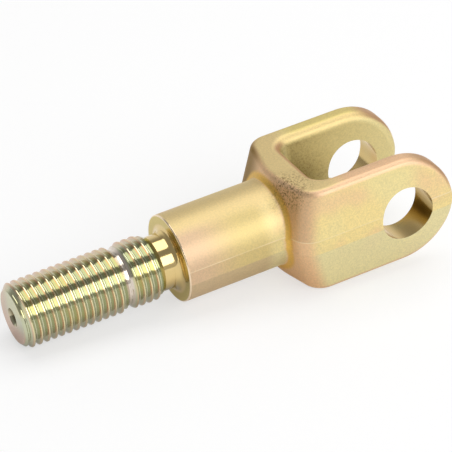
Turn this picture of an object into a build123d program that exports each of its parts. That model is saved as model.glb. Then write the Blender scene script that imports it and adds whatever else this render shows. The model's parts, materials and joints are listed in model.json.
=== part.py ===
from build123d import *
from math import asin, atan2, cos, degrees, hypot, radians, sqrt, tan
import os

# Clevis rod end: a closed-die steel forging, fork and round shank, with a machined stud.
# It is built with the rod axis on X (fork towards +X), the pin axis on Y and the dies
# opening along Z, then turned about the pin axis so that it lies as it rests on a table.
# Origin: centre of the pin bore, midway between the ears. Millimetres and degrees.
# "Where the dies meet" is the plane Z = 0, before the flash is trimmed off.

# ---- fork, forged ----
slot_width = 32.9            # between the ears where the dies meet
ear_thickness = 15.55        # of each ear where the dies meet
fork_height = 51.4           # across the dies
ear_end_setback = 1.5        # centre of the ear's round end, behind the pin axis
slot_floor = 35.2            # pin axis to the floor of the slot where the dies meet
slot_corner_radius = 5.0     # plan radius between slot floor and ear
back_apex = 59.6             # pin axis to the point where the two halves of the back meet
back_slope = 12.8            # how far each half of the back leans towards its ear
back_blend_radius = 50.0     # plan radius that joins the two halves
back_corner_radius = 10.0    # plan radius between the back and an ear's outer face
outer_draft = 8.0            # die draft of the ears' outer faces
back_draft = 15.5            # die draft of the back
slot_draft = 5.0             # die draft inside the slot
outer_edge_radius = 3.2      # rounding of the outer edges
slot_edge_radius = 4.4       # rounding of the slot's edges
trim_band = 6.6              # height of the flat left where the flash was sheared off

# ---- shank, forged ----
shank_diameter = 40.1
shank_fillet = 3.0           # between shank and fork
shoulder_distance = 102.5    # pin axis to the shoulder

# ---- stud, machined ----
thread_diameter = 30.0       # M30 x 3.5, here a plain cylinder at the crests
stud_length = 75.0           # shoulder to the end of the stud
end_chamfer = 3.0            # 45 degree lead onto the thread
neck_diameter = 24.5         # undercut behind the thread
neck_length = 9.0            # shoulder to the start of the cone that leads up to the thread
neck_fillet = 3.0            # at the shoulder
runout_angle = 30.0          # slope of that cone from the axis
groove_diameter = 25.4       # ring groove that parts the thread into two runs
groove_width = 4.0           # at its bottom
groove_distance = 24.5       # shoulder to the middle of the groove
groove_slope = 30.0          # lean of the groove's sides
shoulder_break = 0.6         # rounding of the shoulder's outer edge
centre_mouth = 8.5           # diameter of the centre hole in the stud's end
centre_angle = 60.0          # of its countersink
centre_pilot = 4.0           # diameter of its pilot
centre_depth = 9.0           # end face to the bottom of the pilot
drill_point = 120.0          # angle of the pilot's tip

# ---- pin bore, machined ----
pin_bore = 25.5              # for a 25 mm or 1 inch pin

# ---- values that follow from these ----
half_height = fork_height / 2
half_slot = slot_width / 2
half_width = half_slot + ear_thickness
half_band = trim_band / 2
ear_tip = half_height - ear_end_setback
shank_radius = shank_diameter / 2
thread_radius = thread_diameter / 2
neck_radius = neck_diameter / 2
groove_radius = groove_diameter / 2
stud_end = shoulder_distance + stud_length
past = 10.0                  # how far blanks and cutters run beyond the finished surfaces
close = 0.01                 # when picking out edges and corners


def ears_outline(inset):
    """Plan view of a block as wide as the fork, moved inwards at its sides by inset, open at both ends."""
    length = back_apex + ear_tip + 2 * past
    return Pos((ear_tip - back_apex) / 2, 0) * Rectangle(length, 2 * (half_width - inset))


def back_outline(inset):
    """Plan view of the fork's back, moved inwards by inset, open at its sides and past the ear tips."""
    side = half_width + past
    apex = -back_apex + inset / cos(radians(back_slope))
    corner = apex + side * tan(radians(back_slope))
    front = ear_tip + past
    points = [(front, side), (corner, side), (apex, 0), (corner, -side), (front, -side)]
    return make_face(FilletPolyline(*points, radius=[0, 0, back_blend_radius - inset, 0, 0], close=True))


def slot_outline(growth):
    """Plan view of the slot, grown outwards by growth, open past the ear tips."""
    side = half_slot + growth
    floor = -slot_floor - growth
    front = ear_tip + 2 * past
    corner_radius = slot_corner_radius + growth
    points = [(front, side), (floor, side), (floor, -side), (front, -side)]
    radii = [0, corner_radius, corner_radius, 0]
    return make_face(FilletPolyline(*points, radius=radii, close=True))


def side_profile():
    """Side view of the fork, with full-round ear ends."""
    length = back_apex + past - ear_end_setback
    block = Pos(-ear_end_setback - length / 2, 0) * Rectangle(length, fork_height)
    return block + Pos(-ear_end_setback, 0) * Circle(half_height)


def is_back_corner(edge):
    """True for the steep edge where the back meets an ear's outer face."""
    return edge.bounding_box().size.Z > half_height and edge.center().X < -slot_floor


def follows_side_profile(edge):
    """True for an edge that runs over the top of the fork or round the end of an ear."""
    middle = edge.position_at(0.5)
    reach = middle.X + ear_end_setback
    if reach > 0:
        return middle.Z > close and abs(hypot(reach, middle.Z) - half_height) < close
    flat = edge.bounding_box().size.Z < close
    return flat and abs(middle.Z - half_height) < close


def runs_across(edge):
    """True for the straight edge where the flat top meets the round ends."""
    return edge.bounding_box().size.X < close and edge.center().X > -slot_floor


def forged_half():
    """Upper half of the forging, as the upper die leaves it."""
    ears = extrude(ears_outline(0), amount=half_height + past, taper=outer_draft)
    back = extrude(back_outline(0), amount=half_height + past, taper=back_draft)
    drafted = fillet((ears & back).edges().filter_by(is_back_corner), back_corner_radius)
    rolled = extrude(Plane.XZ * side_profile(), amount=half_width + past, both=True)
    fork = drafted & rolled
    rim = [edge for edge in fork.edges() if follows_side_profile(edge) and not runs_across(edge)]
    fork = fillet(rim, outer_edge_radius)

    slot = extrude(slot_outline(0), amount=half_height + past, taper=-slot_draft)
    open_fork = fork - slot
    mouth = [edge for edge in new_edges(fork, slot, combined=open_fork) if follows_side_profile(edge)]
    open_fork = fillet(mouth, slot_edge_radius)

    end_inside = (slot_floor + back_apex) / 2
    round_bar = Plane.YZ.offset(-shoulder_distance) * Circle(shank_radius)
    bar = extrude(round_bar, amount=shoulder_distance - end_inside)
    bar = fillet(bar.edges().sort_by(Axis.X)[0], shoulder_break)
    bar = split(bar, bisect_by=Plane.XY, keep=Keep.TOP)
    half = open_fork + bar
    seam = [edge for edge in new_edges(open_fork, bar, combined=half) if edge.position_at(0.5).Z > close]
    return fillet(seam, shank_fillet)


def trimmed_forging():
    """Both halves together, with the flash sheared off flat all round and inside the slot."""
    upper = forged_half()
    forging = upper + mirror(upper, about=Plane.XY)

    side_inset = half_band * tan(radians(outer_draft))
    back_inset = half_band * tan(radians(back_draft))
    flat = sqrt(shank_radius**2 - half_band**2)
    plan = ears_outline(side_inset) & back_outline(back_inset)
    behind = [corner for corner in plan.vertices() if corner.X < -slot_floor]
    back_corners = [corner for corner in behind if abs(corner.Y) > half_slot]
    plan = fillet(back_corners, back_corner_radius)
    plan += Pos(-shoulder_distance / 2, 0) * Rectangle(shoulder_distance, 2 * flat)
    flats = [corner for corner in plan.vertices() if abs(abs(corner.Y) - flat) < close]
    shank_corners = [corner for corner in flats if corner.X > -shoulder_distance + past]
    plan = fillet(shank_corners, shank_fillet + back_inset)
    forging &= extrude(plan, amount=half_height + past, both=True)

    growth = half_band * tan(radians(slot_draft))
    return forging - extrude(slot_outline(growth), amount=half_band, both=True)


def turned_stud():
    """The stud, with its end chamfer, centre hole, ring groove, run-out cone and neck."""
    end = -stud_end
    shoulder = -shoulder_distance
    countersink = (centre_mouth - centre_pilot) / 2 / tan(radians(centre_angle / 2))
    pilot_tip = centre_pilot / 2 / tan(radians(drill_point / 2))
    runout = (thread_radius - neck_radius) / tan(radians(runout_angle))
    cone_foot = shoulder - neck_length
    groove_middle = shoulder - groove_distance
    groove_foot = groove_width / 2
    groove_top = groove_foot + (thread_radius - groove_radius) * tan(radians(groove_slope))
    outline = Polyline(
        (end + centre_depth + pilot_tip, 0),
        (end + centre_depth, centre_pilot / 2),
        (end + countersink, centre_pilot / 2),
        (end, centre_mouth / 2),
        (end, thread_radius - end_chamfer),
        (end + end_chamfer, thread_radius),
        (groove_middle - groove_top, thread_radius),
        (groove_middle - groove_foot, groove_radius),
        (groove_middle + groove_foot, groove_radius),
        (groove_middle + groove_top, thread_radius),
        (cone_foot - runout, thread_radius),
        (cone_foot, neck_radius),
        (shoulder, neck_radius),
        (shoulder, neck_radius + neck_fillet + shoulder_break),
        (shoulder + past, neck_radius),
        (shoulder + past, 0),
        close=True,
    )
    section = make_face(outline)
    at_neck = [corner for corner in section.vertices() if abs(corner.Y - neck_radius) < close]
    root = [corner for corner in at_neck if abs(corner.X - shoulder) < close]
    section = fillet(root, neck_fillet)
    return revolve(section, axis=Axis.X)


def resting_tilt():
    """Angle between the rod axis and a table under the fork's back edge and the stud's end."""
    slope = radians(back_slope)
    draft = radians(back_draft)
    back = -back_apex + back_blend_radius * (1 / cos(slope) - 1)
    edge_x = back + (half_height - outer_edge_radius) * tan(draft) + outer_edge_radius / cos(draft)
    run = edge_x + stud_end - end_chamfer
    drop = half_height - outer_edge_radius - thread_radius
    return degrees(atan2(drop, run) + asin(outer_edge_radius / hypot(run, drop)))


rod_end = trimmed_forging() + turned_stud()
rod_end -= Rot(90, 0, 0) * Cylinder(pin_bore / 2, 2 * half_width + past)
rod_end = Rot(0, -resting_tilt(), 0) * rod_end

os.makedirs("parts", exist_ok=True)
export_step(rod_end, "parts/clevis_rod_end.step")
print(f"rests at {resting_tilt():.6f} degrees, lowest point {rod_end.bounding_box().min.Z:.3f}")
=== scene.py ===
# %% [markdown]
# # A clevis rod end, dressed for the camera
#
# The real part is one steel forging: a fork with a cross hole for a pin, a round shank, and a
# stud that is turned and threaded after forging. The whole part is then plated with zinc and
# dipped in yellow chromate, which leaves a pale gold skin.
# This lesson takes the solid from CAD, keeps its forged surfaces as they are, and makes the
# turned stud anew, because the CAD solid leaves its thread as a plain cylinder.

import json
from math import atan2, cos, hypot, pi, radians, sin, tan

import bpy
import numpy as np
from mathutils import Matrix, Vector


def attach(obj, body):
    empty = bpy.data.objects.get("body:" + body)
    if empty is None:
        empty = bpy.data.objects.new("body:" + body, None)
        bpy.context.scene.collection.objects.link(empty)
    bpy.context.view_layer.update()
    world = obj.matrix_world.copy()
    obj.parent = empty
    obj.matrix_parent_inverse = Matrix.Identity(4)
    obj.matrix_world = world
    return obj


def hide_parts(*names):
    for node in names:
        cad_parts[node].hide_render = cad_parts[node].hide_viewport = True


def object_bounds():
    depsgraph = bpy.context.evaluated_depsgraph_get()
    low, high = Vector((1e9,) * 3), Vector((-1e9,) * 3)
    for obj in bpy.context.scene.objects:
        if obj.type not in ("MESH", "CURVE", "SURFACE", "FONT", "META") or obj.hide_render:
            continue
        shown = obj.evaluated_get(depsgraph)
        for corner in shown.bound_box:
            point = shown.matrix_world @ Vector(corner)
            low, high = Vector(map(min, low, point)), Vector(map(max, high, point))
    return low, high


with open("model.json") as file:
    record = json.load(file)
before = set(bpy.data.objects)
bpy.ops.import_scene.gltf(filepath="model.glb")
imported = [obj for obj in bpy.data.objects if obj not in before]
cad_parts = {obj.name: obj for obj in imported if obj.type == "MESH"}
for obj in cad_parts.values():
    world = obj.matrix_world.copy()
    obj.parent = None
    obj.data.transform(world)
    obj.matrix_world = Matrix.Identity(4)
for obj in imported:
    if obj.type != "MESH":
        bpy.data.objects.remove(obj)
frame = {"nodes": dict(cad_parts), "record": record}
bpy.context.view_layer.update()
cad_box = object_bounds()
cad_node = frame["nodes"]["clevis_rod_end"]
mounts = {mount["name"]: mount for mount in frame["record"]["mounts"]}
print("CAD box:", [tuple(round(v, 4) for v in corner) for corner in cad_box])

# %% [markdown]
# The part lies on a table, so its rod axis dips towards the threaded end. Every size below is
# easier to think of along the rod, with X along the rod and Y along the pin. So each piece is
# worked out in that frame, and its points are turned onto the table as the mesh is made. A turned
# object would do as well, but its bounding box would be looser than the part.

# %% The rod's own frame
MM = 0.001
stud_way = Vector(mounts["stud_thread"]["axis"])
dip = atan2(-stud_way.z, -stud_way.x)
rod_to_table = Matrix.Rotation(-dip, 4, "Y")
onto_table = np.array(rod_to_table.to_3x3())
print(f"the rod dips by {dip * 180 / pi:.2f} degrees")

# %% Sizes along the rod, in millimetres
SHOULDER = -102.5          # the flat face that the stud stands on
STUD_LENGTH = 75.0
STUD_END = SHOULDER - STUD_LENGTH
SHANK_RADIUS = 20.05
EDGE_BREAK = 0.6           # rounding of the shoulder's outer edge
CREST_RADIUS = 14.9        # an M30 thread's crests lie just under 15 mm
PITCH = 3.5
NECK_RADIUS = 12.55
NECK_LENGTH = 7.8
NECK_FILLET = 3.0
RUNOUT_ANGLE = radians(30)
GROOVE_RADIUS = 12.85      # the ring groove goes just below the thread's roots
GROOVE_FLOOR = 1.3
GROOVE_MIDDLE = SHOULDER - 24.7
GROOVE_SLOPE = radians(48)
END_CHAMFER = 2.7
CENTRE_MOUTH = 4.25        # radii of the centre hole that held the part in the lathe
CENTRE_PILOT = 2.0
CENTRE_DEPTH = 9.0
CENTRE_TIP = 1.2           # height of the drill's cone past the pilot
COUNTERSINK_SLOPE = radians(30)
CORNER_BREAK = 0.1         # a touch of the tool on each sharp corner of the stud's end
BORE_RADIUS = mounts["pin_bore"]["dims"]["r_mm"]
CLOSE = 0.01               # when points are picked out by their place
print(f"the stud ends {-STUD_END:.1f} mm from the pin, the bore is {2 * BORE_RADIUS:.1f} mm wide")

# %% [markdown]
# ## The forged part
#
# The forging's surfaces come straight from the CAD solid. We copy its triangles from the fork
# up to the shoulder's edge, where the lathe took over, and carry the CAD normals along, so
# that every blend stays as smooth as the solid's. A cap closes the copy.


# %% A mesh from arrays, with its own normals
def mesh_piece(name, points, faces, normals=None):
    """A new object from points in mm in the rod's frame, with a normal for each face corner."""
    mesh = bpy.data.meshes.new(name)
    mesh.from_pydata((np.array(points) @ onto_table.T * MM).tolist(), [], faces)
    mesh.update()
    mesh.shade_smooth()
    if normals is not None:
        mesh.normals_split_custom_set((np.array(normals) @ onto_table.T).tolist())
    piece = bpy.data.objects.new(name, mesh)
    bpy.context.scene.collection.objects.link(piece)
    return piece


def numbers(collection, field, width):
    """One field of a Blender collection as an array with that many columns."""
    values = np.empty(len(collection) * width)
    collection.foreach_get(field, values)
    return values.reshape(-1, width)


# %% Copy the forging out of the CAD mesh
cad_mesh = cad_node.data
cad_points = numbers(cad_mesh.vertices, "co", 3)
cad_corners = numbers(cad_mesh.loops, "vertex_index", 1).astype(int).reshape(-1, 3)
cad_normals = numbers(cad_mesh.corner_normals, "vector", 3).reshape(-1, 3, 3)
rod_points = cad_points @ onto_table / MM
cut = SHOULDER + EDGE_BREAK
reach = rod_points[cad_corners, 0].min(axis=1)
is_forged = reach > cut - CLOSE
kept = cad_corners[is_forged]
used, renumbered = np.unique(kept, return_inverse=True)
kept = renumbered.reshape(-1, 3)
forged_points = rod_points[used]
forged_normals = cad_normals[is_forged].reshape(-1, 3) @ onto_table
print(f"kept {len(kept)} of {len(cad_corners)} triangles")

# %% Close the cut with a cap
on_cut = np.flatnonzero(np.abs(forged_points[:, 0] - cut) < CLOSE)
angles = np.arctan2(forged_points[on_cut, 2], forged_points[on_cut, 1])
_, first = np.unique(np.round(angles, 5), return_index=True)
ring = on_cut[first]
cap = [int(index) for index in ring[::-1]]
cap_normals = np.tile((-1, 0, 0), (len(cap), 1))
forged_body = mesh_piece(
    "forged_body",
    forged_points,
    kept.tolist() + [cap],
    np.vstack([forged_normals, cap_normals]),
)
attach(forged_body, "root")
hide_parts("clevis_rod_end")
print(f"forged_body has {len(forged_body.data.polygons)} faces, cap of {len(cap)} corners")

# %% [markdown]
# ## The turned stud
#
# On a lathe the stud is one profile spun round the rod's axis. We do the same: a list of
# (position, radius) pairs, spun into a closed mesh. Arcs are broken into short steps.


# %% The stud's profile
def arc(centre_x, centre_r, radius, start, end, steps):
    """Points of an arc in the profile plane, from angle start to angle end in degrees."""
    turn = [radians(start + (end - start) * k / steps) for k in range(steps + 1)]
    return [(centre_x + radius * cos(t), centre_r + radius * sin(t)) for t in turn]


groove_top = GROOVE_FLOOR / 2 + (CREST_RADIUS - GROOVE_RADIUS) * tan(GROOVE_SLOPE)
cone_foot = SHOULDER - NECK_LENGTH
cone_head = cone_foot - (CREST_RADIUS - NECK_RADIUS) / tan(RUNOUT_ANGLE)
countersink = (CENTRE_MOUTH - CENTRE_PILOT) / tan(COUNTERSINK_SLOPE)
end_radius = CREST_RADIUS - END_CHAMFER

profile = [
    (STUD_END + CENTRE_DEPTH + CENTRE_TIP, 0),
    (STUD_END + CENTRE_DEPTH, CENTRE_PILOT),
    (STUD_END + countersink, CENTRE_PILOT),
    (STUD_END + CORNER_BREAK, CENTRE_MOUTH - CORNER_BREAK / 2),
    (STUD_END, CENTRE_MOUTH + CORNER_BREAK),
    (STUD_END, end_radius - 3 * CORNER_BREAK),
    (STUD_END + CORNER_BREAK, end_radius - CORNER_BREAK / 2),
    (STUD_END + END_CHAMFER - 1.5 * CORNER_BREAK, CREST_RADIUS - CORNER_BREAK),
    (STUD_END + END_CHAMFER + 2 * CORNER_BREAK, CREST_RADIUS),
    (GROOVE_MIDDLE - groove_top, CREST_RADIUS),
    (GROOVE_MIDDLE - GROOVE_FLOOR / 2, GROOVE_RADIUS),
    (GROOVE_MIDDLE + GROOVE_FLOOR / 2, GROOVE_RADIUS),
    (GROOVE_MIDDLE + groove_top, CREST_RADIUS),
    (cone_head, CREST_RADIUS),
    (cone_foot, NECK_RADIUS),
    *arc(SHOULDER - NECK_FILLET, NECK_RADIUS + NECK_FILLET, NECK_FILLET, 270, 360, 8),
    *arc(cut, SHANK_RADIUS - EDGE_BREAK, EDGE_BREAK, 180, 90, 4),
    (cut, 0),
]
print(f"profile of {len(profile)} points, {profile[-1][0] - STUD_END:.1f} mm long")


# %% Rings beside each corner, so that smooth shading stays within a hair of it
def with_support(outline, gap=0.12):
    """The same outline with a point just inside both ends of each long straight run."""
    supported = [outline[0]]
    for (x0, r0), (x1, r1) in zip(outline, outline[1:]):
        run = hypot(x1 - x0, r1 - r0)
        if run > 6 * gap:
            for share in (gap / run, 1 - gap / run):
                supported.append((x0 + (x1 - x0) * share, r0 + (r1 - r0) * share))
        supported.append((x1, r1))
    return supported


profile = with_support(profile)
print(f"{len(profile)} points with support")


# %% Spin it
def spin(name, outline, segments):
    """A closed mesh of a profile spun round the rod's axis, on which its two ends lie."""
    points = [(outline[0][0], 0, 0)]
    for x, r in outline[1:-1]:
        for k in range(segments):
            turn = 2 * pi * k / segments
            points.append((x, r * cos(turn), r * sin(turn)))
    points.append((outline[-1][0], 0, 0))
    last = len(points) - 1
    faces = []
    for k in range(segments):
        after = (k + 1) % segments
        faces.append((0, 1 + k, 1 + after))
        for row in range(len(outline) - 3):
            low, high = 1 + row * segments, 1 + (row + 1) * segments
            faces.append((low + k, high + k, high + after, low + after))
        low = 1 + (len(outline) - 3) * segments
        faces.append((low + k, last, low + after))
    return mesh_piece(name, points, faces)


SEGMENTS = 160
turned_stud = spin("turned_stud", profile, SEGMENTS)
print(f"turned_stud has {len(turned_stud.data.polygons)} faces before threading")

# %% [markdown]
# ## The thread
#
# A metric thread is a groove with flanks 60 degrees apart and a rounded root, wound once round
# for each pitch. We sweep that groove along a helix as a solid of its own and take it away
# from the stud, as the threading die does. The groove runs out past both ends of the thread.

# %% Section of the thread groove
FLANK_ANGLE = radians(30)                      # each flank, from square to the axis
flat = PITCH / 8                               # width of a crest
mouth = (PITCH - flat) / 2                     # half the groove's width at the crests
root_radius = 0.144 * PITCH                    # as a metric screw has
root_centre = mouth / tan(FLANK_ANGLE) - 2 * root_radius
root_arc = [
    (root_radius * sin(radians(a)), -root_centre - root_radius * cos(radians(a)))
    for a in (-60, -36, -12, 12, 36, 60)
]
crest_bevel = 0.12                             # takes the sharpness off the crests
above_crest = 1.5                              # how far the cutter stands out of the stud
right_side = [
    (mouth - 1.6 * crest_bevel * tan(FLANK_ANGLE), -1.6 * crest_bevel),
    (mouth + crest_bevel * 0.75, crest_bevel),
    (mouth + crest_bevel * 0.75, above_crest),
]
left_side = [(-x, r) for x, r in reversed(right_side)]
section = left_side + root_arc + right_side
print(f"groove {root_centre + root_radius:.2f} mm deep, section of {len(section)} points")

# %% Sweep it along the helix
STEPS_PER_TURN = 96
THREAD_START = STUD_END - 2.65     # middle of the first groove, past the end face
THREAD_LENGTH = 72.0
turns = THREAD_LENGTH / PITCH
rows = int(turns * STEPS_PER_TURN)
points, faces = [], []
for row in range(rows + 1):
    turn = 2 * pi * row / STEPS_PER_TURN
    centre = THREAD_START + PITCH * row / STEPS_PER_TURN
    for x, depth in section:
        r = CREST_RADIUS + depth
        points.append((centre + x, -r * sin(turn), r * cos(turn)))
width = len(section)
for row in range(rows):
    for k in range(width):
        after = (k + 1) % width
        a, b = row * width, (row + 1) * width
        faces.append((a + k, a + after, b + after, b + k))
faces.append(tuple(range(width))[::-1])
faces.append(tuple(range(rows * width, (rows + 1) * width)))
groove_cutter = mesh_piece("groove_cutter", points, faces)
print(f"groove_cutter winds {turns:.1f} turns")

# %% Cut the thread
SHARP_FROM = radians(28)           # just under a flank's slope, so crests and roots stay crisp
cut_thread = turned_stud.modifiers.new("cut_thread", "BOOLEAN")
cut_thread.operation = "DIFFERENCE"
cut_thread.solver = "EXACT"
cut_thread.object = groove_cutter
bpy.context.view_layer.update()
shapes = bpy.context.evaluated_depsgraph_get()
threaded = bpy.data.meshes.new_from_object(turned_stud.evaluated_get(shapes))
turned_stud.modifiers.clear()
turned_stud.data = threaded
threaded.shade_smooth()
threaded.set_sharp_from_angle(angle=SHARP_FROM)
bpy.data.objects.remove(groove_cutter)
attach(turned_stud, "root")
print(f"turned_stud has {len(threaded.polygons)} faces after threading")

# %% [markdown]
# ## Finishes
#
# One skin covers the whole part: yellow-chromated zinc on steel. It shows the steel's own surface
# through it, so the forged parts are satin and grainy and the turned parts are bright. Zinc is a
# metal, so both are Principled shaders with Metallic at 1 and the default IOR, and the base colour
# is the colour of the reflection. The chromate film is thin enough to play between gold, green
# and pink, which we paint with slow noises, each as large as the patches on a real part.


# %% Helpers for colours and nodes
def colour(hex_code):
    """A linear RGBA colour from an sRGB hex code."""
    channels = [int(hex_code[i : i + 2], 16) / 255 for i in (0, 2, 4)]
    linear = [c / 12.92 if c <= 0.04045 else ((c + 0.055) / 1.055) ** 2.4 for c in channels]
    return (*linear, 1.0)


def add(tree, kind, *values, **inputs):
    """Adds a node. A dict among values holds its own settings. The other values go to its sockets
    in order, and inputs go by socket name; each is a value, a socket or another node."""
    node = tree.nodes.new(kind)
    for key, value in (values[0] if values and isinstance(values[0], dict) else {}).items():
        setattr(node, key, value)
    in_order = [value for value in values if not isinstance(value, dict)]
    sockets = [socket for socket in node.inputs if socket.enabled]
    by_name = {socket.name: socket for socket in reversed(sockets)}
    pairs = list(zip(sockets, in_order))
    pairs += [(by_name[key.replace("_", " ")], value) for key, value in inputs.items()]
    for socket, value in pairs:
        if isinstance(value, bpy.types.Node):
            value = next(output for output in value.outputs if output.enabled)
        if isinstance(value, bpy.types.NodeSocket):
            tree.links.new(value, socket)
        else:
            socket.default_value = value
    return node


def new_metal(name):
    """An empty metal: its material, node tree and shader."""
    material = bpy.data.materials.new(name)
    material.use_nodes = True
    shader = material.node_tree.nodes["Principled BSDF"]
    shader.inputs["Metallic"].default_value = 1.0
    return material, material.node_tree, shader


MATH, MIX = "ShaderNodeMath", "ShaderNodeMix"
RANGE, NOISE, BUMP = "ShaderNodeMapRange", "ShaderNodeTexNoise", "ShaderNodeBump"
VECTOR, TURN = "ShaderNodeVectorMath", "ShaderNodeVectorRotate"
TIMES, LESS = {"operation": "MULTIPLY"}, {"operation": "SUBTRACT"}
SIZE, LARGER = {"operation": "ABSOLUTE"}, {"operation": "MAXIMUM"}
SCALED, CROSS = {"operation": "SCALE"}, {"operation": "CROSS_PRODUCT"}
BLEND = {"data_type": "RGBA"}
SMOOTH = {"interpolation_type": "SMOOTHSTEP"}
ABOUT_Y = {"rotation_type": "Y_AXIS"}
print("helpers for colours and nodes are ready")


def in_rod_frame(tree, vector):
    """The same vector turned back from the table into the rod's frame."""
    return add(tree, TURN, ABOUT_Y, Vector=vector, Angle=dip)


def rod_place(tree):
    """The place in mm in the rod's frame, its X, Y and Z, and the distance from the rod axis."""
    place = in_rod_frame(tree, add(tree, "ShaderNodeTexCoord").outputs["Object"])
    place = add(tree, VECTOR, SCALED, Vector=place, Scale=1 / MM)
    x, y, z = add(tree, "ShaderNodeSeparateXYZ", place).outputs
    across = add(tree, "ShaderNodeCombineXYZ", 0.0, y, z)
    radius = add(tree, VECTOR, {"operation": "LENGTH"}, across).outputs["Value"]
    return place, x, y, z, radius


# %% [markdown]
# ### Forged and chromated steel
#
# The dies leave scale marks and a fine grain, and the plating dulls them to satin. Flat faces are
# pale gold, and the film runs pink over the rounded edges of the near ear. The upper roundings of
# the ear ends are darker, which is painted shade. The back of the fork is pinker, and browner
# towards its far side, which is painted shade, and the fillet behind it is a strong yellow, which
# is a painted reflection. Inside the slot the skin is a darker olive, darkest towards the slot's
# floor and low down, which is painted shade. A pale painted highlight runs along the top of the
# trim band. All of these follow the shape, so each one is a mask made from the surface's normal or
# from a place along the rod.

# %% Forged skin: places
forged_skin, tree, shader = new_metal("yellow_chromated_forged_steel")
place, x, y, z, radius = rod_place(tree)
normal = in_rod_frame(tree, add(tree, "ShaderNodeNewGeometry").outputs["Normal"])
nx, ny, nz = add(tree, "ShaderNodeSeparateXYZ", normal).outputs
steep_y = add(tree, MATH, SIZE, ny)
steep_z = add(tree, MATH, SIZE, nz)
from_middle = add(tree, MATH, SIZE, y)
from_parting = add(tree, MATH, SIZE, z)
print("forged skin: its place and normal, in the rod's frame")

# %% Forged skin: slow drifts of hue
PINK_PATCH, GREEN_PATCH = 26.0, 34.0        # how wide the patches are, in mm
OTHER_DRAW = {"noise_dimensions": "4D"}     # its W gives a pattern apart from the pink one
pink_drift = add(tree, NOISE, Vector=place, Scale=1 / PINK_PATCH, Detail=2.0)
green_drift = add(tree, NOISE, OTHER_DRAW, Vector=place, W=3.0, Scale=1 / GREEN_PATCH, Detail=2.0)
pink_patches = add(tree, RANGE, SMOOTH, pink_drift, From_Min=0.46, From_Max=0.66)
green_patches = add(tree, RANGE, SMOOTH, green_drift, From_Min=0.48, From_Max=0.68)
film = add(tree, MIX, BLEND, pink_patches, colour("EEDA9C"), colour("ECCF9E"))
film = add(tree, MIX, BLEND, green_patches, film, colour("EADBA2"))
print(f"forged skin: pink patches of {PINK_PATCH:.0f} mm, green ones of {GREEN_PATCH:.0f} mm")

# %% Forged skin: shank, web, ear tops and the half below the trim band
on_bar = add(tree, RANGE, SMOOTH, x, From_Min=-58.0, From_Max=-66.0)
toward_stud = add(tree, RANGE, SMOOTH, x, From_Min=-72.0, From_Max=-98.0)
bar_film = add(tree, MIX, BLEND, toward_stud, colour("D8C48A"), colour("DBBE9C"))
film = add(tree, MIX, BLEND, on_bar, film, bar_film)
faces_up = add(tree, RANGE, SMOOTH, nz, From_Min=0.8, From_Max=0.97)
at_web = add(tree, RANGE, SMOOTH, x, From_Min=-24.0, From_Max=-36.0)
film = add(tree, MIX, BLEND, add(tree, MATH, TIMES, faces_up, at_web), film, colour("D8C28E"))
on_near_ear = add(tree, RANGE, SMOOTH, y, From_Min=-4.0, From_Max=-18.0)
ear_top = add(tree, MIX, BLEND, on_near_ear, colour("D8C684"), colour("E2BE98"))
on_ears = add(tree, RANGE, SMOOTH, x, From_Min=-36.0, From_Max=-24.0)
film = add(tree, MIX, BLEND, add(tree, MATH, TIMES, faces_up, on_ears), film, ear_top)
below_trim = add(tree, RANGE, SMOOTH, z, From_Min=-2.9, From_Max=-3.7)
lower_film = add(tree, MIX, BLEND, on_bar, colour("E2D9AC"), colour("CDB894"))
film = add(tree, MIX, BLEND, add(tree, MATH, TIMES, below_trim, 0.8), film, lower_film)
print("forged skin: colours of the flat parts")

# %% Forged skin: rounded edges
round_edge = add(tree, MATH, {"operation": "MINIMUM"}, steep_y, steep_z)
edge = add(tree, RANGE, SMOOTH, round_edge, From_Min=0.2, From_Max=0.5)
on_fork = add(tree, RANGE, SMOOTH, x, From_Min=-56.0, From_Max=-50.0)
edge = add(tree, MATH, TIMES, edge, on_fork)
rim_film = add(tree, MIX, BLEND, on_near_ear, colour("DCC48C"), colour("E4BE9E"))
film = add(tree, MIX, BLEND, add(tree, MATH, TIMES, edge, 0.8), film, rim_film)
# The upper roundings of the ear ends get a darker brown: painted shade.
faces_front = add(tree, RANGE, SMOOTH, nx, From_Min=0.15, From_Max=0.55)
faces_high = add(tree, RANGE, SMOOTH, nz, From_Min=0.1, From_Max=0.5)
ear_end_painted_shade = add(tree, MATH, TIMES, faces_front, faces_high)
film = add(tree, MIX, BLEND, ear_end_painted_shade, film, colour("C09A74"))
print("forged skin: colours of the edges")

# %% Forged skin: the fork's back and the fillet round the shank
faces_back = add(tree, RANGE, SMOOTH, nx, From_Min=-0.02, From_Max=-0.7)
behind = add(tree, RANGE, SMOOTH, x, From_Min=-34.0, From_Max=-40.0)
back = add(tree, MATH, TIMES, faces_back, behind)
film = add(tree, MIX, BLEND, back, film, colour("EBC79C"))
# The far side of the back gets a dark brown: painted shade on the side turned from the light.
far_side = add(tree, RANGE, SMOOTH, y, From_Min=4.0, From_Max=20.0)
far_back_painted_shade = add(tree, MATH, TIMES, back, far_side)
film = add(tree, MIX, BLEND, far_back_painted_shade, film, colour("9C7E4A"))
# The fillet round the shank gets a strong yellow: a painted reflection of the concave fillet.
outside_bar = add(
    tree, RANGE, SMOOTH, radius, From_Min=SHANK_RADIUS + 0.1, From_Max=SHANK_RADIUS + 0.5
)
inside_root = add(
    tree, RANGE, SMOOTH, radius, From_Min=SHANK_RADIUS + 3.8, From_Max=SHANK_RADIUS + 1.6
)
root = add(tree, MATH, TIMES, add(tree, MATH, TIMES, outside_bar, inside_root), behind)
film = add(tree, MIX, BLEND, root, film, colour("E8C066"))
print("forged skin: colours of the back and its fillet")

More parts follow.
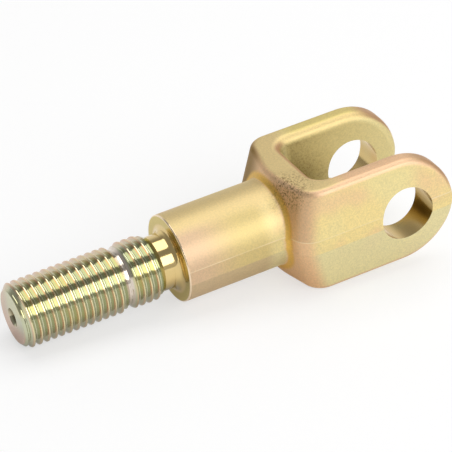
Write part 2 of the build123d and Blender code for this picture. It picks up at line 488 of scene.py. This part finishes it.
# %% Forged skin: inside the slot
between_ears = add(tree, RANGE, SMOOTH, from_middle, From_Min=19.5, From_Max=18.3)
below_rim = add(tree, RANGE, SMOOTH, from_parting, From_Min=25.0, From_Max=21.0)
in_slot = add(tree, MATH, TIMES, between_ears, below_rim)
past_floor = add(tree, RANGE, SMOOTH, x, From_Min=-39.5, From_Max=-37.5)
in_slot = add(tree, MATH, TIMES, in_slot, past_floor)
# Darker olive towards the slot's floor and low down: painted shade in the recess.
toward_floor = add(tree, RANGE, SMOOTH, x, From_Min=-4.0, From_Max=-34.0)
toward_rim = add(tree, RANGE, SMOOTH, z, From_Min=0.0, From_Max=20.0, To_Min=1.0, To_Max=0.35)
slot_shade = add(tree, MATH, TIMES, toward_floor, toward_rim)
slot_film_and_shade = add(tree, MIX, BLEND, slot_shade, colour("DECF98"), colour("94844C"))
film = add(tree, MIX, BLEND, in_slot, film, slot_film_and_shade)
print("forged skin: colours of the slot")

# %% Forged skin: grain and scale marks
GRAIN, SPECK = 0.8, 1.0                     # mm; coarser than the real ones, so that they show
NEAR_CORNER = (-49.0, -15.0, 24.0)          # where the scale marks lie thickest
grain = add(tree, NOISE, Vector=place, Scale=1 / GRAIN, Detail=3.0, Roughness=0.7)
grain_light = add(tree, RANGE, grain, From_Min=0.35, From_Max=0.65, To_Min=0.89, To_Max=1.08)
film = add(tree, VECTOR, SCALED, Vector=film, Scale=grain_light)

scale = add(tree, NOISE, Vector=place, Scale=1 / SPECK, Detail=4.0, Roughness=0.8)
scale_marks = add(tree, RANGE, SMOOTH, scale, From_Min=0.47, From_Max=0.62)
to_corner = add(tree, VECTOR, {"operation": "DISTANCE"}, Vector=place)
to_corner.inputs[1].default_value = NEAR_CORNER
near_corner = add(tree, RANGE, SMOOTH, to_corner.outputs["Value"], From_Min=15.0, From_Max=3.0)
# In the slot the dark specks follow the painted shade.
shaded_slot = add(tree, MATH, TIMES, in_slot, slot_shade)
speckled = add(tree, MATH, LARGER, near_corner, shaded_slot)
specks = add(tree, MATH, TIMES, scale_marks, speckled)
film = add(tree, MIX, BLEND, specks, film, colour("8C7048"))
print(f"forged skin: grain of {GRAIN} mm, specks of {SPECK} mm")

# %% Forged skin: the painted highlight at the top of the trim band
TRIM_TOP = 3.3                              # mm above the parting plane
trim_edge = add(tree, MATH, SIZE, add(tree, MATH, LESS, z, TRIM_TOP))
# A pale painted highlight where the trim band's top edge catches the light.
trim_highlight = add(tree, RANGE, SMOOTH, trim_edge, From_Min=0.35, From_Max=0.1)
breaks = add(tree, RANGE, pink_drift, From_Min=0.3, From_Max=0.6)
trim_highlight = add(tree, MATH, TIMES, trim_highlight, breaks)
trim_highlight = add(tree, MATH, TIMES, trim_highlight, add(tree, MATH, LESS, 1.0, in_slot))
trim_highlight = add(tree, MATH, TIMES, trim_highlight, add(tree, MATH, LESS, 1.0, root))
trim_highlight = add(tree, MATH, TIMES, trim_highlight, 0.8)
film = add(tree, MIX, BLEND, trim_highlight, film, colour("F4E2BC"))
print("forged skin: trim line")

# %% Forged skin: gloss and relief
WAVE, WAVE_HEIGHT, GRAIN_HEIGHT = 5.0, 0.05, 0.03      # mm; the waves come from the die's wear
satin = add(tree, RANGE, grain, From_Min=0.3, From_Max=0.7, To_Min=0.46, To_Max=0.62)
lumps = add(tree, NOISE, Vector=place, Scale=1 / WAVE, Detail=1.0)
waves = add(tree, BUMP, Strength=1.0, Distance=WAVE_HEIGHT * MM, Height=lumps)
relief = add(tree, BUMP, Strength=1.0, Distance=GRAIN_HEIGHT * MM, Height=grain, Normal=waves)
tree.links.new(film.outputs[2], shader.inputs["Base Color"])
tree.links.new(satin.outputs["Result"], shader.inputs["Roughness"])
tree.links.new(relief.outputs["Normal"], shader.inputs["Normal"])
print("forged skin:", len(tree.nodes), "nodes")

# %% [markdown]
# ### Turned and chromated steel
#
# The lathe leaves fine rings. They spread a highlight along the rod and keep it sharp round the
# rod, which a tangent that runs along the profile gives, with Anisotropic above zero. The neck
# and the shoulder are a deep gold, the shoulder darker and more olive, which is painted shade,
# with a painted highlight on its rounded outer edge. The ring groove is a paler grey, which is a
# painted reflection. The thread's flanks are a green gold, pinker near the top, and its crests are
# pale, which is a painted highlight, so the colour there follows the distance from the axis. On
# its far side the thread is pinker, a painted film sheen. Faces that look down are darker, which
# is painted shade, and the centre hole is painted dark as its shade.

# %% Turned skin: the thread
turned_skin, tree, shader = new_metal("yellow_chromated_turned_steel")
place, x, y, z, radius = rod_place(tree)
normal = in_rod_frame(tree, add(tree, "ShaderNodeNewGeometry").outputs["Normal"])
nz = add(tree, "ShaderNodeSeparateXYZ", normal).outputs["Z"]
flank_top = add(tree, RANGE, SMOOTH, radius, From_Min=14.0, From_Max=14.5)
crest = add(tree, RANGE, SMOOTH, radius, From_Min=14.65, From_Max=14.85)
film = add(tree, MIX, BLEND, flank_top, colour("C6C8AA"), colour("DAB89A"))
# The pale crests are a painted highlight.
film = add(tree, MIX, BLEND, crest, film, colour("E9DCB2"))
STUD_PATCH = 18.0                           # how wide the patches of hue are, in mm
drift = add(tree, NOISE, Vector=place, Scale=1 / STUD_PATCH, Detail=2.0)
patches = add(tree, RANGE, SMOOTH, drift, From_Min=0.5, From_Max=0.68)
film = add(tree, MIX, BLEND, add(tree, MATH, TIMES, patches, 0.6), film, colour("D6CE9C"))
# Pinker on the stud's far side: a painted film sheen, the pink that the film shows at grazing
# views.
far_side = add(tree, RANGE, SMOOTH, y, From_Min=0.0, From_Max=9.0)
film = add(tree, MIX, BLEND, add(tree, MATH, TIMES, far_side, 0.75), film, colour("CFAE98"))
print("turned skin: colours of the thread")

# %% Turned skin: ring groove, neck and shoulder
# Faces that look down get a darker olive further on: painted shade.
underside_shade = add(tree, RANGE, SMOOTH, nz, From_Min=-0.05, From_Max=-0.75, To_Max=0.75)
# The paler grey in the ring groove is a painted reflection.
in_groove = add(tree, MATH, SIZE, add(tree, MATH, LESS, x, GROOVE_MIDDLE))
in_groove = add(tree, RANGE, SMOOTH, in_groove, From_Min=1.9, From_Max=1.3)
film = add(tree, MIX, BLEND, in_groove, film, colour("DED2C4"))
at_neck = add(tree, RANGE, SMOOTH, x, From_Min=cone_foot - 0.9, From_Max=cone_foot + 0.4)
film = add(tree, MIX, BLEND, at_neck, film, colour("E0C68A"))
# The shoulder face gets a darker olive gold: painted shade.
on_shoulder = add(tree, RANGE, SMOOTH, radius, From_Min=15.0, From_Max=16.5)
shoulder_shade = add(tree, MATH, TIMES, on_shoulder, at_neck)
film = add(tree, MIX, BLEND, shoulder_shade, film, colour("CDB866"))
film = add(tree, MIX, BLEND, underside_shade, film, colour("8F8460"))
# A pale painted highlight on the shoulder's rounded outer edge.
rim_highlight = add(
    tree, RANGE, SMOOTH, radius, From_Min=SHANK_RADIUS - 0.7, From_Max=SHANK_RADIUS - 0.4
)
film = add(tree, MIX, BLEND, rim_highlight, film, colour("F2DDBE"))
print("turned skin: colours of the groove, neck and shoulder")

# %% Turned skin: the end face and its centre hole
on_end = add(tree, RANGE, SMOOTH, x, From_Min=STUD_END + 0.5, From_Max=STUD_END + 0.1)
low_half = add(tree, RANGE, SMOOTH, z, From_Min=3.0, From_Max=-8.0)
film = add(tree, MIX, BLEND, add(tree, MATH, TIMES, on_end, low_half), film, colour("CFAE98"))
hole_rim, hole_inside = CENTRE_MOUTH, CENTRE_MOUTH - 1.2
in_centre = add(tree, RANGE, SMOOTH, radius, From_Min=hole_rim, From_Max=hole_inside)
at_end = add(tree, RANGE, SMOOTH, x, From_Min=STUD_END + 14.0, From_Max=STUD_END + 12.0)
# The centre hole is painted dark brown: painted shade in the recess.
hole_shade = add(tree, MATH, TIMES, in_centre, at_end)
film = add(tree, MIX, BLEND, hole_shade, film, colour("6B5A3C"))
print("turned skin: colours of the end face")

# %% Turned skin: tool rings and gloss
RING, RING_HEIGHT = 0.35, 0.006             # mm from ring to ring, and their height
profile_place = add(tree, "ShaderNodeCombineXYZ", x, radius, 0.0)
FLAT_NOISE = {"noise_dimensions": "2D"}
rings = add(tree, NOISE, FLAT_NOISE, Vector=profile_place, Scale=1 / RING, Detail=2.0)
ring_bump = add(tree, BUMP, Strength=1.0, Distance=RING_HEIGHT * MM, Height=rings)
tree.links.new(film.outputs[2], shader.inputs["Base Color"])
tree.links.new(ring_bump.outputs["Normal"], shader.inputs["Normal"])
circling = add(tree, VECTOR, CROSS, normal, (1.0, 0.0, 0.0))
down_profile = add(tree, VECTOR, CROSS, circling, normal)
back_to_table = add(tree, TURN, ABOUT_Y, Vector=down_profile, Angle=-dip)
tree.links.new(back_to_table.outputs["Vector"], shader.inputs["Tangent"])
shader.inputs["Roughness"].default_value = 0.14
shader.inputs["Anisotropic"].default_value = 0.5
print("turned skin:", len(tree.nodes), "nodes")

# %% [markdown]
# ### Bored and chromated steel
#
# The pin bore is reamed, so its wall is smoother than the forging round it.

# %% Bore skin
bored_skin, tree, shader = new_metal("yellow_chromated_bored_steel")
place = rod_place(tree)[0]
BORE_PATCH = 12.0                           # how wide the patches of hue are, in mm
drift = add(tree, NOISE, Vector=place, Scale=1 / BORE_PATCH, Detail=2.0)
film = add(tree, MIX, BLEND, drift, colour("DDB474"), colour("CDBF88"))
tree.links.new(film.outputs[2], shader.inputs["Base Color"])
shader.inputs["Roughness"].default_value = 0.16
print("bore skin:", len(tree.nodes), "nodes")

# %% Give each piece its skin
forged_body.data.materials.append(forged_skin)
forged_body.data.materials.append(bored_skin)
from_pin = np.hypot(forged_points[kept, 0], forged_points[kept, 2]).max(axis=1)
skin_index = np.append(from_pin < BORE_RADIUS + CLOSE, False).astype(np.int32)
forged_body.data.polygons.foreach_set("material_index", skin_index)
turned_stud.data.materials.clear()
turned_stud.data.materials.append(turned_skin)
print(f"{skin_index.sum()} faces are bore wall")

# %% [markdown]
# ## Studio
#
# The part lies on a white floor under two soft lamps, one high behind it and one in front. Bright
# metal shows whatever is round it, so the sky overhead and past the stud's end is left dim, which
# draws dark bands along the turned stud, and the rest of the sky near the horizon is pale.

# %% Floor
FLOOR_SIZE = 8.0               # metres
LIT_BY_EYE, LIT_IN_METAL = 0.6, 0.15       # shares of plain white; the rest keeps the shadow
lowest = cad_box[0].z
bpy.ops.mesh.primitive_plane_add(size=FLOOR_SIZE, location=(0, 0, lowest))
floor = bpy.context.object
floor.name = "floor"
white_floor = bpy.data.materials.new("white_floor")
white_floor.use_nodes = True
tree = white_floor.node_tree
matt = tree.nodes["Principled BSDF"]
matt.inputs["Base Color"].default_value = colour("FAFAFA")
matt.inputs["Roughness"].default_value = 1.0
matt.inputs["Specular IOR Level"].default_value = 0.0
glow = add(tree, "ShaderNodeEmission", Strength=1.0)
ray = add(tree, "ShaderNodeLightPath").outputs
in_metal = add(tree, MATH, LARGER, ray["Is Glossy Ray"], ray["Is Transmission Ray"])
in_metal = add(tree, MATH, TIMES, in_metal, LIT_IN_METAL)
by_eye = add(tree, MATH, TIMES, ray["Is Camera Ray"], LIT_BY_EYE)
seen = add(tree, MATH, LARGER, by_eye, in_metal)
shown = add(tree, "ShaderNodeMixShader", seen, matt.outputs["BSDF"], glow)
tree.links.new(shown.outputs["Shader"], tree.nodes["Material Output"].inputs["Surface"])
floor.data.materials.append(white_floor)
print(f"floor {FLOOR_SIZE:.0f} m wide at {lowest:.4f} m")

# %% World
SKY_BEHIND, SKY_IN_FRONT, SKY_DIM = 0.9, 0.55, 0.3
world = bpy.data.worlds.new("studio")
bpy.context.scene.world = world
world.use_nodes = True
tree = world.node_tree
way = add(tree, "ShaderNodeTexCoord").outputs["Generated"]
wx, wy, wz = add(tree, "ShaderNodeSeparateXYZ", way).outputs
in_front = add(tree, RANGE, SMOOTH, wy, From_Min=-0.1, From_Max=-0.6)
horizon = add(tree, RANGE, in_front, To_Min=SKY_BEHIND, To_Max=SKY_IN_FRONT)
height = add(tree, RANGE, SMOOTH, wz, From_Min=0.25, From_Max=0.75)
sky = add(tree, MIX, height, horizon, SKY_DIM)
past_stud = add(tree, RANGE, SMOOTH, wx, From_Min=-0.3, From_Max=-0.75)
sky = add(tree, MIX, past_stud, sky, SKY_DIM)
tree.links.new(sky.outputs[0], tree.nodes["Background"].inputs["Strength"])
tree.nodes["Background"].inputs["Color"].default_value = (1, 1, 1, 1)
bpy.context.scene.view_settings.view_transform = "Standard"
print("world:", len(tree.nodes), "nodes")

# %% Lamps
LAMP_DISTANCE = 2.0            # metres
AIM = Vector((-0.07, 0, 0))    # the middle of the part, in the rod's frame


def soft_lamp(name, way, width, length, radiance):
    """A flat lamp that faces the part from a direction in the rod's frame."""
    data = bpy.data.lights.new(name, "AREA")
    data.shape, data.size, data.size_y = "RECTANGLE", length, width
    data.energy = radiance * pi * width * length
    lamp = bpy.data.objects.new(name, data)
    bpy.context.scene.collection.objects.link(lamp)
    back = (rod_to_table.to_3x3() @ Vector(way)).normalized()
    right = Vector((1, 0, 0)) - back * back.x
    right.normalize()
    up = back.cross(right)
    axes = Matrix((right, up, back)).transposed().to_4x4()
    middle = rod_to_table @ AIM
    lamp.matrix_world = Matrix.Translation(middle + back * LAMP_DISTANCE) @ axes
    return lamp


soft_lamp("lamp_over_back", (0.344, 0.195, 0.918), 1.6, 2.3, 1.95)
soft_lamp("lamp_in_front", (0.344, -0.778, 0.525), 1.2, 2.3, 2.6)
print("lamps:", [lamp.name for lamp in bpy.data.lights])

# %% [markdown]
# The camera stands high on the stud's side with a long lens, so the rod runs from corner to corner
# and near and far parts keep almost the same scale. Its place and axes are given along the rod.

# %% Camera
FRAME_PIXELS = 452
FOCAL_PIXELS = 2559.76
camera_place = Vector((-458.68, -846.65, 630.57)) * MM      # in the rod's frame
camera_right = Vector((0.879415, -0.467240, -0.091197))
camera_up = Vector((0.329479, 0.459097, 0.825030))
camera_back = camera_right.cross(camera_up)
camera_data = bpy.data.cameras.new("camera")
camera_data.lens = camera_data.sensor_width * FOCAL_PIXELS / FRAME_PIXELS
camera_data.clip_start, camera_data.clip_end = 0.05, 20
camera = bpy.data.objects.new("camera", camera_data)
bpy.context.scene.collection.objects.link(camera)
axes = Matrix((camera_right, camera_up, camera_back)).transposed().to_4x4()
camera.matrix_world = rod_to_table @ Matrix.Translation(camera_place) @ axes
bpy.context.scene.camera = camera
print("camera at", [round(v, 3) for v in camera.matrix_world.translation])

# %% Bring the scene up to date
bpy.context.view_layer.update()
